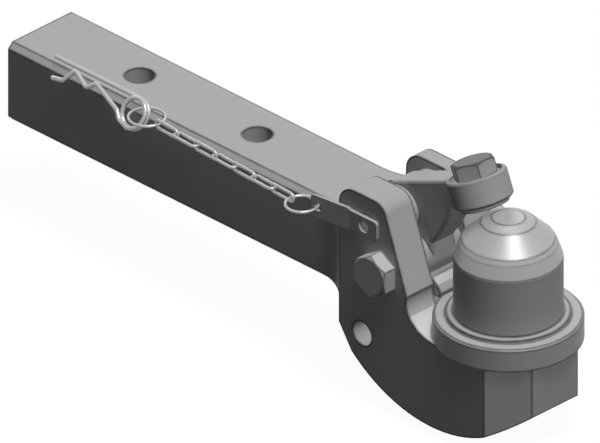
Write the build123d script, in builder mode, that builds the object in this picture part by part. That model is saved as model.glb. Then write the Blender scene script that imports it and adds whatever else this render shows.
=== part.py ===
from build123d import *
from math import atan2, cos, degrees, radians, sin, sqrt, tan
import os

# Drawbar ball hitch with a hold-down arm. Millimetres. The origin is the centre of the ball,
# +X points along the drawbar towards the nose, +Z is up.

# Fits
running_fit = 0.05        # radial, shaft turning in a bore
sliding_fit = 0.1         # radial, pin drawn through a bore
side_play = 0.3           # between parts side by side
bolt_hole_play = 0.5      # radial, through holes

# Ball, collar and their seat
ball_diameter = 80.0
ball_height = 60.0        # ball centre above the head's top face
skirt_top = 4.7           # the skirt runs up as a cylinder a little past the centre
ball_band_radius = 39.0
ball_shoulder_radius = 36.1
ball_cone_radius = 33.9
ball_crown_radius = 20.2
ball_flat_radius = 12.2
flange_diameter = 91.0
flange_rise = 2.4         # flange top above the collar's top
collar_wall = 9.45        # round the flange
collar_height = 18.4
collar_edge = 1.5
shank_diameter = 42.0
shank_thread = 36.0
ball_nut_flats = 55.0
ball_nut_height = 22.0
ball_washer_diameter = 66.0
ball_washer_thickness = 5.0
nut_pocket_diameter = 74.0
nut_pocket_floor = -106.0

# Drawbar
bar_width = 69.0
bar_height = 65.0
bar_top = 2.5             # above the ball centre
bar_length = 351.0        # from its end to the ears
bar_bevel = 4.5
pin_hole_diameter = 22.0
pin_hole_pitch = 120.0
pin_hole_edge = 100.0     # first hole from the bar's end

# Head
head_width = 96.0
ears_rear = -125.0
nose_front = 47.6
nose_chamfer = 24.7
belly_radius = 122.0
belly_centre_x, belly_centre_z = -31.6, -7.9
heel_x = -112.0           # the belly's arc ends here
heel_top = -80.0          # and a slant leads up to the ears' rear edge
neck_flare_radius = 50.0
neck_overlap = 15.0
corner_relief_radius = 50.5
corner_relief_slope = 26.0

# Ears
ear_gap = 41.0
ear_top = 34.7
ear_front_top_x = -80.1   # where the slanted front edge would meet the top
ear_foot_x = -46.0        # where it would meet the head's top face
ear_rear_corner = 15.0
ear_front_corner = 12.5
ear_recess_radius = 21.0  # round recess at the ears' feet, tangent to the head's top face
ear_recess_x = -36.0
ear_root_fillet = 15.0
ear_root_width = 13.5
slot_rear = -141.0
slot_floor = -42.0
slot_corner = 12.0
saddle_top_x, saddle_top_z = -58.0, -27.0
saddle_step_x, saddle_step_z = -53.0, -30.5

# Pivot and lock axes, both along Y
pivot_x, pivot_z = -82.0, -21.0
lock_x, lock_z = -96.7, 11.5
cross_bore_x, cross_bore_z = -101.3, -80.8
cross_bore_diameter = 19.0

# Pivot bolt
pivot_diameter = 20.0
pivot_flats = 30.0
pivot_head_height = 12.5
pivot_nut_height = 16.0
pivot_washer_diameter = 37.0
pivot_washer_thickness = 3.0
pivot_tail = 5.0          # bolt end past the nut
bush_wall = 3.0

# Hold-down arm
arm_thickness = 24.0
arm_edge = 2.5
arm_hub_radius = 17.0
arm_eye_radius = 20.0
eye_boss_radius = 18.0
arm_pitch = 22.5          # the arm's back rises at this angle, and the boss leans back by it
arm_back_length = 77.0
arm_front_radius = 96.6
arm_front_high = (-46.0, 34.7)
arm_front_low = (-66.0, -6.0)
boss_radius = 23.0
boss_height = 24.5
boss_foot_x, boss_foot_z = -24.0, 38.2
boss_rim = 2.5

# Adjusting bolt
adjuster_diameter = 20.0
adjuster_flats = 30.0
adjuster_head_height = 12.5
adjuster_tip = 1.5        # past the boss's lower face
adjuster_washer_diameter = 36.0
adjuster_washer_thickness = 2.5

# Lock pin and its handle
lock_diameter = 16.0
lock_eye_play = 0.9       # radial, pin in the arm's eye
lock_tail = 14.0          # past the far ear
lock_tail_chamfer = 2.0
clip_hole_diameter = 5.0
clip_hole_inset = 7.0     # from the pin's end
rivet_diameter = 10.0
rivet_length = 1.2
strip_thickness = 3.0
tab_front = 13.0          # from the pin's axis towards the nose
tab_rear = 14.5
tab_height = 15.6
grip_length = 35.0
grip_height = 18.0
grip_flare = 7.3
grip_hole_diameter = 6.8
grip_hole_inset = 6.0
strip_corner = 2.5

# Rings, chain and clip
ring_wire = 2.2
handle_ring_radius = 12.0
handle_ring_centre = Vector(-150.2, -60.6, 12.3)
clip_ring_radius = 13.5
clip_ring_centre = Vector(-328.0, -40.8, 4.0)
link_count = 7
link_wire = 2.4
link_width = 6.4          # between the centre lines of a link's two sides
link_gap = 0.3
clip_wire = 3.5
clip_coil_radius = 11.3
clip_coil_pitch = 3.7
clip_tilt = 60.0          # of the clip's plane from the horizontal
clip_coil_centre = Vector(-342.8, -36.4, -1.1)
clip_leg_length = 88.0
clip_bend_radius = 6.0

# Heights and places that follow
ball_radius = ball_diameter / 2
flange_radius = flange_diameter / 2
collar_radius = flange_radius + running_fit + collar_wall
head_top = -ball_height
collar_top = head_top + collar_height
flange_top = collar_top + flange_rise
bar_bottom = bar_top - bar_height
bar_end = ears_rear - bar_length
belly_bottom = belly_centre_z - belly_radius
half_head = head_width / 2
half_gap = ear_gap / 2
half_bar = bar_width / 2
eye_reach = half_gap - side_play
ear_slant = (ear_foot_x - ear_front_top_x) / (ear_top - head_top)
recess_z = head_top + ear_recess_radius


def side_plane(x, z, y=0.0):
    """A plane square to Y whose own X and Y run along the part's X and Z."""
    return Plane(origin=(x, y, z), x_dir=(1, 0, 0), z_dir=(0, -1, 0))


def on_sphere(radius):
    """Height of the ball's sphere at a distance from its axis."""
    return sqrt(ball_radius**2 - radius**2)


def belly_z(x):
    """Height of the belly's arc below a point of the head."""
    return belly_centre_z - sqrt(belly_radius**2 - (x - belly_centre_x) ** 2)


def nearest_corner(sketch, across, up):
    """The corner of a sketch that lies nearest to a point of it."""
    return sketch.vertices().sort_by_distance((across, up, 0))[0]


def hexagon_head(base, flats, height):
    """A hexagon on a plane, the corners of its outer end turned off at 30 degrees."""
    corner = flats / sqrt(3)
    land = flats / 2 * 0.95
    with BuildPart() as head:
        with BuildSketch(base):
            RegularPolygon(flats / 2, 6, major_radius=False)
        extrude(amount=height)
        with BuildSketch(Plane(base.origin, x_dir=base.x_dir, z_dir=-base.y_dir)):
            with BuildLine():
                Polyline((0, 0), (corner, 0), (corner, height - (corner - land) * tan(radians(30))),
                         (land, height), (0, height), (0, 0))
            make_face()
        revolve(axis=Axis(base.origin, base.z_dir), mode=Mode.INTERSECT)
    return head.part


def round_boss(base, radius, height, rim):
    """A short round boss on a plane, both its ends rounded off."""
    with BuildPart() as boss:
        with BuildSketch(base):
            Circle(radius)
        extrude(amount=height)
        fillet(boss.edges(), rim)
    return boss.part


def wire_along(edges, wire):
    """Round wire along lines and arcs that run smoothly into each other."""
    with BuildPart() as bent:
        for edge in edges:
            with BuildSketch(Plane(edge @ 0, z_dir=edge % 0)):
                Circle(wire / 2)
            if edge.geom_type == GeomType.CIRCLE:
                spoke = (edge @ 0) - edge.arc_center
                turned = degrees(edge.length / edge.radius)
                revolve(axis=Axis(edge.arc_center, spoke.cross(edge % 0)), revolution_arc=turned)
            else:
                extrude(amount=edge.length)
    return bent.part


def wire_loop(plane, length, width, wire):
    """A closed link: two straight sides and two round ends, its length along the plane's X."""
    half = length / 2 - width / 2
    with BuildLine(plane) as path:
        Line((-half, width / 2), (half, width / 2))
        ThreePointArc((half, width / 2), (length / 2, 0), (half, -width / 2))
        Line((half, -width / 2), (-half, -width / 2))
        ThreePointArc((-half, -width / 2), (-length / 2, 0), (-half, width / 2))
    return wire_along(path.edges(), wire)


def round_ring(centre, radius, wire):
    """A ring of round wire that lies level."""
    with BuildPart() as ring:
        with BuildSketch(Plane.XZ.offset(-centre.Y)):
            with Locations((centre.X + radius, centre.Z)):
                Circle(wire / 2)
        revolve(axis=Axis(centre, (0, 0, 1)))
    return ring.part


# Hitch body
# The drawbar and its flared neck are one plan outline, bevelled along the long edges.
flare_step = half_head - half_bar
flare_start = ears_rear - sqrt(neck_flare_radius**2 - (neck_flare_radius - flare_step) ** 2)
neck_root = ears_rear + neck_overlap

with BuildPart() as hitch_body:
    with BuildSketch(Plane.XY.offset(bar_bottom)):
        with BuildLine():
            Polyline((neck_root, 0), (neck_root, half_bar), (ears_rear, half_bar), (ears_rear, half_head))
            RadiusArc((ears_rear, half_head), (flare_start, half_bar), neck_flare_radius)
            Polyline((flare_start, half_bar), (bar_end, half_bar), (bar_end, 0), (neck_root, 0))
        make_face()
        mirror(about=Plane.XZ)
    extrude(amount=bar_height)
    long_edges = hitch_body.edges().filter_by(
        lambda edge: abs(edge.center().Y) > half_bar - 0.01
        and abs((edge @ 0).Z - (edge @ 1).Z) < 0.01
        and abs((edge @ 0).X - (edge @ 1).X) > 1.0
        and edge.center().X < ears_rear - 1.0
    )
    chamfer(long_edges, bar_bevel)

    # Head and ears: one side outline across the whole width
    with BuildSketch(Plane.XZ) as side_outline:
        with BuildLine():
            Line((nose_front, head_top), (nose_front, belly_z(nose_front)))
            ThreePointArc((nose_front, belly_z(nose_front)), (belly_centre_x, belly_bottom),
                          (heel_x, belly_z(heel_x)))
            Polyline((heel_x, belly_z(heel_x)), (ears_rear, heel_top), (ears_rear, ear_top),
                     (ear_front_top_x, ear_top), (ear_foot_x - ear_slant * ear_recess_radius, recess_z),
                     (ear_recess_x, recess_z), (ear_recess_x, head_top), (nose_front, head_top))
        make_face()
        fillet(nearest_corner(side_outline, ears_rear, ear_top), ear_rear_corner)
        fillet(nearest_corner(side_outline, ear_front_top_x, ear_top), ear_front_corner)
        with Locations((ear_recess_x, recess_z)):
            Circle(ear_recess_radius, mode=Mode.SUBTRACT)
    extrude(amount=half_head, both=True)

    # The nose's two corners are cut off at 45 degrees, and their tops are turned down round the collar
    with BuildSketch(Plane.XY.offset(belly_bottom - 1)):
        for side in (1, -1):
            with BuildLine():
                Polyline((nose_front - nose_chamfer, side * half_head), (nose_front, side * half_head),
                         (nose_front, side * (half_head - nose_chamfer)),
                         (nose_front - nose_chamfer, side * half_head))
            make_face()
    extrude(amount=head_top - belly_bottom + 2, mode=Mode.SUBTRACT)
    relief_reach = head_width - corner_relief_radius
    relief_drop = relief_reach * tan(radians(corner_relief_slope))
    with BuildSketch(Plane.XZ):
        with BuildLine():
            Polyline((corner_relief_radius, head_top), (corner_relief_radius + relief_reach, head_top),
                     (corner_relief_radius + relief_reach, head_top - relief_drop),
                     (corner_relief_radius, head_top))
        make_face()
    revolve(axis=Axis.Z, revolution_arc=90, mode=Mode.SUBTRACT)
    with BuildSketch(Plane.XZ):
        with BuildLine():
            Polyline((corner_relief_radius, head_top), (corner_relief_radius + relief_reach, head_top),
                     (corner_relief_radius + relief_reach, head_top - relief_drop),
                     (corner_relief_radius, head_top))
        make_face()
    revolve(axis=Axis.Z, revolution_arc=-90, mode=Mode.SUBTRACT)
    # Concave roots where the ears rise out of the neck
    with BuildSketch(Plane.XZ):
        with BuildLine():
            Polyline((ears_rear - ear_root_fillet, bar_top), (ears_rear, bar_top),
                     (ears_rear, bar_top + ear_root_fillet))
            RadiusArc((ears_rear, bar_top + ear_root_fillet), (ears_rear - ear_root_fillet, bar_top),
                      ear_root_fillet)
        make_face()
    extrude(amount=half_gap + ear_root_width, both=True)

    # The slot between the ears runs back into the neck, as deep as the arm needs to swing
    with BuildSketch(Plane.XZ) as slot_outline:
        with BuildLine():
            Polyline((slot_rear, ear_top + 1), (slot_rear, slot_floor), (pivot_x, slot_floor),
                     (saddle_top_x, saddle_top_z), (saddle_step_x, saddle_step_z),
                     (ear_recess_x, saddle_step_z), (ear_recess_x, ear_top + 1), (slot_rear, ear_top + 1))
        make_face()
        fillet(nearest_corner(slot_outline, slot_rear, slot_floor), slot_corner)
        fillet(nearest_corner(slot_outline, pivot_x, slot_floor), arm_hub_radius)
    extrude(amount=half_gap, both=True, mode=Mode.SUBTRACT)

    # Room round the collar, then the bores
    with BuildSketch(Plane.XY.offset(head_top)):
        Circle(collar_radius + side_play)
    extrude(amount=ear_top - head_top, mode=Mode.SUBTRACT)
    with Locations((0, 0, head_top)):
        Hole(shank_diameter / 2 + bolt_hole_play, depth=head_top - belly_bottom + 5)
    with BuildSketch(Plane.XY.offset(belly_bottom - 1)):
        Circle(nut_pocket_diameter / 2)
    extrude(amount=nut_pocket_floor - belly_bottom + 1, mode=Mode.SUBTRACT)
    for x, z, radius in (
        (pivot_x, pivot_z, pivot_diameter / 2 + bolt_hole_play),
        (lock_x, lock_z, lock_diameter / 2 + sliding_fit),
        (cross_bore_x, cross_bore_z, cross_bore_diameter / 2),
    ):
        with BuildSketch(side_plane(x, z)):
            Circle(radius)
        extrude(amount=half_head + 1, both=True, mode=Mode.SUBTRACT)
    for step in range(2):
        with BuildSketch(Plane.XY.offset(bar_bottom - 1)):
            with Locations((bar_end + pin_hole_edge + step * pin_hole_pitch, 0)):
                Circle(pin_hole_diameter / 2)
        extrude(amount=bar_height + 2, mode=Mode.SUBTRACT)

# Ball: skirt, cone and crown inside the coupling sphere, flange in the collar, shank through the head
with BuildPart() as ball:
    with BuildSketch(Plane.XZ):
        with BuildLine():
            Polyline((0, nut_pocket_floor - ball_washer_thickness - ball_nut_height - 4),
                     (shank_thread / 2 - 2, nut_pocket_floor - ball_washer_thickness - ball_nut_height - 4),
                     (shank_thread / 2, nut_pocket_floor - ball_washer_thickness - ball_nut_height - 2),
                     (shank_thread / 2, nut_pocket_floor + 4), (shank_diameter / 2, nut_pocket_floor + 7),
                     (shank_diameter / 2, head_top), (flange_radius, head_top), (flange_radius, flange_top),
                     (ball_radius, flange_top), (ball_radius, skirt_top))
            ThreePointArc((ball_radius, skirt_top), (39.7, 7.0), (ball_band_radius, on_sphere(ball_band_radius)))
            Line((ball_band_radius, on_sphere(ball_band_radius)),
                 (ball_shoulder_radius, on_sphere(ball_shoulder_radius)))
            Line((ball_shoulder_radius, on_sphere(ball_shoulder_radius)),
                 (ball_cone_radius, on_sphere(ball_cone_radius)))
            Line((ball_cone_radius, on_sphere(ball_cone_radius)),
                 (ball_crown_radius, on_sphere(ball_crown_radius)))
            Line((ball_crown_radius, on_sphere(ball_crown_radius)),
                 (ball_flat_radius, on_sphere(ball_flat_radius)))
            Polyline((ball_flat_radius, on_sphere(ball_flat_radius)), (0, on_sphere(ball_flat_radius)),
                     (0, nut_pocket_floor - ball_washer_thickness - ball_nut_height - 4))
        make_face()
    revolve(axis=Axis.Z)

with BuildPart() as ball_collar:
    with BuildSketch(Plane.XY.offset(head_top)):
        Circle(collar_radius)
        Circle(flange_radius + running_fit, mode=Mode.SUBTRACT)
    extrude(amount=collar_height)
    chamfer(ball_collar.edges().group_by(Axis.Z)[-1].sort_by(SortBy.LENGTH)[-1], collar_edge)

with BuildPart() as ball_washer:
    with BuildSketch(Plane.XY.offset(nut_pocket_floor - ball_washer_thickness)):
        Circle(ball_washer_diameter / 2)
        Circle(shank_thread / 2 + bolt_hole_play, mode=Mode.SUBTRACT)
    extrude(amount=ball_washer_thickness)

nut_top = nut_pocket_floor - ball_washer_thickness
with BuildPart() as ball_nut:
    add(hexagon_head(Plane((0, 0, nut_top), x_dir=(1, 0, 0), z_dir=(0, 0, -1)), ball_nut_flats, ball_nut_height))
    with BuildSketch(Plane.XY.offset(nut_top - ball_nut_height - 1)):
        Circle(shank_thread / 2 + running_fit)
    extrude(amount=ball_nut_height + 2, mode=Mode.SUBTRACT)

# Pivot: hexagon bolt from the near ear, bush in the arm, washer and nut on the far ear
with BuildPart() as pivot_bolt:
    add(hexagon_head(side_plane(pivot_x, pivot_z, -half_head), pivot_flats, pivot_head_height))
    with BuildSketch(side_plane(pivot_x, pivot_z, -half_head)):
        Circle(pivot_diameter / 2)
    extrude(amount=-(head_width + pivot_washer_thickness + pivot_nut_height + pivot_tail))
    chamfer(pivot_bolt.edges().group_by(Axis.Y)[-1], 1.5)

with BuildPart() as pivot_washer:
    with BuildSketch(side_plane(pivot_x, pivot_z, half_head + pivot_washer_thickness)):
        Circle(pivot_washer_diameter / 2)
        Circle(pivot_diameter / 2 + bolt_hole_play, mode=Mode.SUBTRACT)
    extrude(amount=pivot_washer_thickness)

nut_seat = half_head + pivot_washer_thickness
with BuildPart() as pivot_nut:
    add(hexagon_head(Plane((pivot_x, nut_seat, pivot_z), x_dir=(1, 0, 0), z_dir=(0, 1, 0)),
                     pivot_flats, pivot_nut_height))
    with BuildSketch(side_plane(pivot_x, pivot_z, nut_seat + pivot_nut_height + 1)):
        Circle(pivot_diameter / 2 + running_fit)
    extrude(amount=pivot_nut_height + 2, mode=Mode.SUBTRACT)

bush_bore = pivot_diameter / 2 + running_fit
with BuildPart() as pivot_bush:
    with BuildSketch(side_plane(pivot_x, pivot_z)):
        Circle(bush_bore + bush_wall)
        Circle(bush_bore, mode=Mode.SUBTRACT)
    extrude(amount=eye_reach, both=True)

# Hold-down arm: a forged lever with an eye at the pivot and one for the lock pin,
# and a leaning round boss over the ball
pitch = radians(arm_pitch)
back_direction = Vector(cos(pitch), 0, sin(pitch))
boss_axis = Vector(-sin(pitch), 0, cos(pitch))
boss_foot = Vector(boss_foot_x, 0, boss_foot_z)
boss_head = boss_foot + boss_axis * boss_height
boss_plane = Plane(boss_foot, x_dir=back_direction, z_dir=boss_axis)
back_start = Vector(lock_x, 0, lock_z) + boss_axis * arm_eye_radius
back_end = back_start + back_direction * arm_back_length
boss_middle = boss_foot + boss_axis * (boss_height * 0.4)

with BuildPart() as hold_down_arm:
    with BuildSketch(Plane.XZ):
        with Locations((pivot_x, pivot_z)):
            Circle(arm_hub_radius)
        with Locations((lock_x, lock_z)):
            Circle(arm_eye_radius)
        make_hull()
        with BuildLine():
            Polyline((pivot_x, pivot_z), (lock_x, lock_z), (back_start.X, back_start.Z),
                     (back_end.X, back_end.Z), (boss_middle.X, boss_middle.Z), arm_front_high)
            RadiusArc(arm_front_high, arm_front_low, arm_front_radius)
            Polyline(arm_front_low, (pivot_x + arm_hub_radius, pivot_z), (pivot_x, pivot_z))
        make_face()
    extrude(amount=arm_thickness / 2, both=True)
    rims = hold_down_arm.edges().filter_by(lambda edge: abs(abs(edge.center().Y) - arm_thickness / 2) < 0.01)
    fillet(rims, arm_edge)
    with BuildSketch(Plane.XZ):
        with Locations((pivot_x, pivot_z)):
            Circle(arm_hub_radius)
        with Locations((lock_x, lock_z)):
            Circle(eye_boss_radius)
    extrude(amount=eye_reach, both=True)
    add(round_boss(boss_plane, boss_radius, boss_height, boss_rim))
    with BuildSketch(Plane.XZ):
        with Locations((pivot_x, pivot_z)):
            Circle(bush_bore + bush_wall)
        with Locations((lock_x, lock_z)):
            Circle(lock_diameter / 2 + lock_eye_play)
    extrude(amount=half_gap, both=True, mode=Mode.SUBTRACT)
    with BuildSketch(boss_plane):
        Circle(adjuster_diameter / 2 + running_fit)
    extrude(amount=boss_height, mode=Mode.SUBTRACT)

# Adjusting bolt with its washer on the boss
washer_plane = Plane(boss_head, x_dir=back_direction, z_dir=boss_axis)
with BuildPart() as adjuster_washer:
    with BuildSketch(washer_plane):
        Circle(adjuster_washer_diameter / 2)
        Circle(adjuster_diameter / 2 + bolt_hole_play, mode=Mode.SUBTRACT)
    extrude(amount=adjuster_washer_thickness)

with BuildPart() as adjusting_bolt:
    add(hexagon_head(washer_plane.offset(adjuster_washer_thickness), adjuster_flats, adjuster_head_height))
    with BuildSketch(boss_plane.offset(-adjuster_tip)):
        Circle(adjuster_diameter / 2)
    extrude(amount=adjuster_tip + boss_height + adjuster_washer_thickness)

# Lock pin: a shoulder behind the strip, a short rivet end in it, a cross hole at the far end
strip_inner = -half_head - side_play
strip_outer = strip_inner - strip_thickness
lock_end = half_head + lock_tail
with BuildPart() as lock_pin:
    with BuildSketch(side_plane(lock_x, lock_z, strip_inner)):
        Circle(lock_diameter / 2)
    extrude(amount=strip_inner - lock_end)
    chamfer(lock_pin.edges().group_by(Axis.Y)[-1], lock_tail_chamfer)
    with BuildSketch(side_plane(lock_x, lock_z, strip_inner)):
        Circle(rivet_diameter / 2)
    extrude(amount=rivet_length)
    with BuildSketch(Plane.XY.offset(lock_z - lock_diameter)):
        with Locations((lock_x, lock_end - clip_hole_inset)):
            Circle(clip_hole_diameter / 2)
    extrude(amount=2 * lock_diameter, mode=Mode.SUBTRACT)

# Handle: a tab flat on the ear, and a grip that flares away from the drawbar
flare = radians(grip_flare)
miter = strip_thickness * tan(flare / 2)
bend_x = lock_x - tab_rear
grip_back = grip_length * cos(flare)
grip_out = grip_length * sin(flare)
with BuildPart() as lock_pin_handle:
    with BuildSketch(Plane.XY.offset(lock_z)):
        with BuildLine():
            Polyline((lock_x + tab_front, strip_inner), (lock_x + tab_front, strip_outer),
                     (bend_x, strip_outer), (bend_x - grip_back, strip_outer - grip_out),
                     (bend_x - grip_back + strip_thickness * sin(flare),
                      strip_outer - grip_out + strip_thickness * cos(flare)),
                     (bend_x + miter, strip_inner), (lock_x + tab_front, strip_inner))
        make_face()
    extrude(amount=grip_height, both=True)
    with BuildSketch(side_plane(lock_x, lock_z)):
        with Locations(((tab_front - tab_rear - strip_corner) / 2, 0)):
            RectangleRounded(tab_front + tab_rear + strip_corner, tab_height, strip_corner)
        with Locations((-tab_rear - grip_back / 2, 0)):
            RectangleRounded(grip_back, grip_height, strip_corner)
    extrude(amount=half_head * 2, mode=Mode.INTERSECT)
    hole_along = grip_length - grip_hole_inset
    grip_hole = Vector(bend_x - hole_along * cos(flare), strip_outer - hole_along * sin(flare), lock_z)
    with BuildSketch(Plane(grip_hole, x_dir=(cos(flare), sin(flare), 0), z_dir=(sin(flare), -cos(flare), 0))):
        Circle(grip_hole_diameter / 2)
    extrude(amount=strip_thickness, both=True, mode=Mode.SUBTRACT)
    with BuildSketch(side_plane(lock_x, lock_z, strip_inner)):
        Circle(rivet_diameter / 2)
    extrude(amount=strip_thickness, mode=Mode.SUBTRACT)

# Rings and chain. The links run from ring to ring, each turned a quarter turn from the last.
chain_run = (clip_ring_centre - handle_ring_centre).normalized()
level_run = Vector(chain_run.X, chain_run.Y, 0).normalized()
chain_start = handle_ring_centre + level_run * handle_ring_radius
chain_end = clip_ring_centre - level_run * clip_ring_radius
chain_vector = chain_end - chain_start
chain_direction = chain_vector.normalized()
ring_hook = (ring_wire + link_wire) / 2 + link_gap
link_hook = link_wire + link_gap
link_length = (chain_vector.length + 2 * ring_hook + (link_count - 1) * link_hook) / link_count
chain_side = chain_direction.cross(Vector(0, 0, 1)).normalized()
chain_up = chain_side.cross(chain_direction).normalized()

handle_ring = round_ring(handle_ring_centre, handle_ring_radius, ring_wire)
clip_ring = round_ring(clip_ring_centre, clip_ring_radius, ring_wire)
links = []
for index in range(link_count):
    along = -ring_hook + link_length / 2 + index * (link_length - link_hook)
    link_normal = chain_side if index % 2 == 0 else chain_up
    link_plane = Plane(chain_start + chain_direction * along, x_dir=chain_direction, z_dir=link_normal)
    links.append(wire_loop(link_plane, link_length, link_width, link_wire))

# Spring clip: a straight leg, a double coil and a waved leg beside it
tilt = radians(clip_tilt)
clip_up = Vector(0, cos(tilt), sin(tilt))
clip_out = Vector(0, -sin(tilt), cos(tilt))


def clip_point(back, up, out):
    """A point of the clip: back from its coil, up its plane, and out from the drawbar."""
    return clip_coil_centre + Vector(-back, 0, 0) + clip_up * up + clip_out * out


coil = clip_coil_radius
turn = clip_coil_pitch / 2
bow = sqrt(coil**2 + (turn / 2) ** 2)
wave_out = 3 * turn
with BuildLine() as clip_path:
    Line(clip_point(clip_leg_length, coil, 0), clip_point(0, coil, 0))
    for half in range(3):
        side = 1 if half % 2 else -1
        ThreePointArc(clip_point(0, -side * coil, half * turn), clip_point(side * bow, 0, (half + 0.5) * turn),
                      clip_point(0, side * coil, (half + 1) * turn))
    wave = [(0, -coil), (13, -coil), (33, 7.5), (46, -1.5), (58, 7.5), (70, 2.5), (80, -1.0)]
    FilletPolyline(*[clip_point(back, up, wave_out) for back, up in wave], radius=clip_bend_radius)
spring_clip = wire_along(clip_path.edges(), clip_wire)

# Every piece gets its name and its own file
pieces = {
    "hitch_body": hitch_body.part,
    "ball": ball.part,
    "ball_collar": ball_collar.part,
    "ball_washer": ball_washer.part,
    "ball_nut": ball_nut.part,
    "pivot_bolt": pivot_bolt.part,
    "pivot_washer": pivot_washer.part,
    "pivot_nut": pivot_nut.part,
    "pivot_bush": pivot_bush.part,
    "hold_down_arm": hold_down_arm.part,
    "adjuster_washer": adjuster_washer.part,
    "adjusting_bolt": adjusting_bolt.part,
    "lock_pin": lock_pin.part,
    "lock_pin_handle": lock_pin_handle.part,
    "handle_ring": handle_ring,
    "clip_ring": clip_ring,
    "spring_clip": spring_clip,
}
for number, link in enumerate(links, start=1):
    pieces[f"chain_link_{number}"] = link

os.makedirs("parts", exist_ok=True)
for label, piece in pieces.items():
    piece.label = label
    export_step(piece, f"parts/{label}.step")
print("chain link length", round(link_length, 2))
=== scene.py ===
"""Looks of a drawbar ball hitch with a hold-down arm: finishes, wire and solid pieces, stage and camera.

Every length is in metres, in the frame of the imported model: origin at the ball's centre, +X along the
drawbar towards the nose, +Z up.
"""

from __future__ import annotations

import logging
import math
from collections.abc import Callable, Iterable
from dataclasses import dataclass, field
from enum import Enum

import bmesh
import bpy
from mathutils import Matrix, Vector

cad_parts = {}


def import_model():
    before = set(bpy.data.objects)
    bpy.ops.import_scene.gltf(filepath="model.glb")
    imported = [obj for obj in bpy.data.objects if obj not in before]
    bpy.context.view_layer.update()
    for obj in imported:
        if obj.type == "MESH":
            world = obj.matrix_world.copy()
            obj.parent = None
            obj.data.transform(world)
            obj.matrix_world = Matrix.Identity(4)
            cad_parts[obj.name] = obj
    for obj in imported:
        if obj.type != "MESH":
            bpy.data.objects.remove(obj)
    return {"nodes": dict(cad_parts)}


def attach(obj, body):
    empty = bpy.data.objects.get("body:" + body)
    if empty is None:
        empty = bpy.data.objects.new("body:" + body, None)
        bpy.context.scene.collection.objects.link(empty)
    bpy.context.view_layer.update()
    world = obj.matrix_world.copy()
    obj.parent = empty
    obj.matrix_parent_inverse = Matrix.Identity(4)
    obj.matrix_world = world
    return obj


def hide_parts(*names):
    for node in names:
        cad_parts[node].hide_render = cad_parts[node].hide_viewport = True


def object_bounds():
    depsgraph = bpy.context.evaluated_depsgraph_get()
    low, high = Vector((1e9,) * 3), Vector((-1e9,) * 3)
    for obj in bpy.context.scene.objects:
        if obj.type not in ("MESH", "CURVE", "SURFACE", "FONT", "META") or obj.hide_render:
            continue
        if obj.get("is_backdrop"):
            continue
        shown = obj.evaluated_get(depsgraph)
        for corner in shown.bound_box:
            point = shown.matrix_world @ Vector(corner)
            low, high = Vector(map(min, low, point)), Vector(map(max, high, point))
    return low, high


LOG = logging.getLogger("ball_hitch")
MM = 0.001

# Places and sizes that several pieces share
PIVOT_X, PIVOT_Z = -82.0 * MM, -21.0 * MM
LOCK_X, LOCK_Z = -96.7 * MM, 11.5 * MM
HALF_HEAD = 48.0 * MM
HEAD_TOP = -60.0 * MM
THREAD_PLAY = 0.05 * MM
OVERSHOOT = 1.0 * MM

Looks = dict[str, bpy.types.Material]
Profile = list[tuple[float, float]]


class Axis(Enum):
    """The direction that a lathe's marks or a drawn grain run round or along."""

    X = (0.0, math.radians(90), 0.0)
    Y = (math.radians(90), 0.0, 0.0)
    Z = (0.0, 0.0, 0.0)


class Skin(Enum):
    """How a steel surface was made, which decides its grain."""

    FORGED = "forged"
    TURNED = "turned"
    DRAWN = "drawn"


# Node helpers


def fill(tree: bpy.types.NodeTree, node: bpy.types.Node, inputs: dict[str | int, object]) -> None:
    """Give a node's inputs what they hold: a socket is linked, anything else becomes the value."""
    for name, value in inputs.items():
        if isinstance(value, bpy.types.NodeSocket):
            tree.links.new(value, node.inputs[name])
        else:
            node.inputs[name].default_value = value


def add_node(tree: bpy.types.NodeTree, kind: str, inputs: dict[str | int, object] | None = None,
             **values: object) -> bpy.types.Node:
    """Add a node, set its plain properties and fill its inputs.

    Args:
        tree: the tree that takes the node.
        kind: the node's type name.
        inputs: sockets or values for its inputs, by name or number.
        values: properties to set on it.

    Returns:
        The new node.
    """
    node = tree.nodes.new(kind)
    for name, value in values.items():
        setattr(node, name, value)
    fill(tree, node, inputs or {})
    return node


def math_node(tree: bpy.types.NodeTree, operation: str, *values: bpy.types.NodeSocket | float,
              clamp: bool = False) -> bpy.types.NodeSocket:
    """Add a Math node fed by sockets or numbers.

    Args:
        tree: the tree that takes the node.
        operation: the Math node's operation.
        values: what its inputs get, in order: sockets or numbers.
        clamp: whether the result stays between 0 and 1.

    Returns:
        The node's output socket.
    """
    node = add_node(tree, "ShaderNodeMath", dict(enumerate(values)), operation=operation, use_clamp=clamp)
    return node.outputs[0]


def mix_node(tree: bpy.types.NodeTree, factor: bpy.types.NodeSocket, first: object,
             second: object) -> bpy.types.NodeSocket:
    """Blend two colours by a factor.

    Args:
        tree: the tree that takes the node.
        factor: 0 for the first colour, 1 for the second.
        first: a socket or a colour.
        second: a socket or a colour.

    Returns:
        The blended colour's socket.
    """
    node = add_node(tree, "ShaderNodeMix", data_type="RGBA")
    fill(tree, node, {"Factor": factor, "A": first, "B": second})
    return node.outputs["Result"]


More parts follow.
